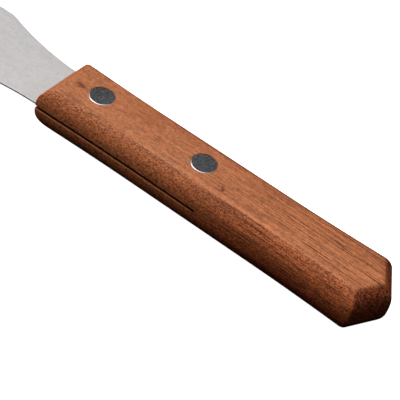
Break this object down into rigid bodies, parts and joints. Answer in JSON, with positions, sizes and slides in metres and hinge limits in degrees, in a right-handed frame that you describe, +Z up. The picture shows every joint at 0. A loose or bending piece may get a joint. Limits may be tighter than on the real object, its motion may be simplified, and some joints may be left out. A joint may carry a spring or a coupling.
{
  "type": "palette knife",
  "caption": "Palette knife: a flexible round-tipped steel blade with a half tang in a slotted, crowned hardwood handle, held by flush compression rivets.",
  "frame": {"origin": "on the handle's flat underside, below the middle of the knife's overall length and on its plane of symmetry", "axes": "+X along the knife toward the blade's tip, +Z up, square to the handle's flat top, Y across the width"},
  "size_m": [0.2452, 0.0322, 0.0156],
  "materials": {
    "hardwood": "oiled, open-pored reddish-brown hardwood with fine grain along the handle",
    "blade_steel": "satin, finely ground stainless steel",
    "rivet_steel": "ground flush with the wood and lightly polished"
  },
  "bodies": {
    "root": {"handle": "hardwood", "blade": "blade_steel", "front_rivet_tube": "rivet_steel", "front_rivet_pin": "rivet_steel", "rear_rivet_tube": "rivet_steel", "rear_rivet_pin": "rivet_steel"}
  },
  "joints": []
}
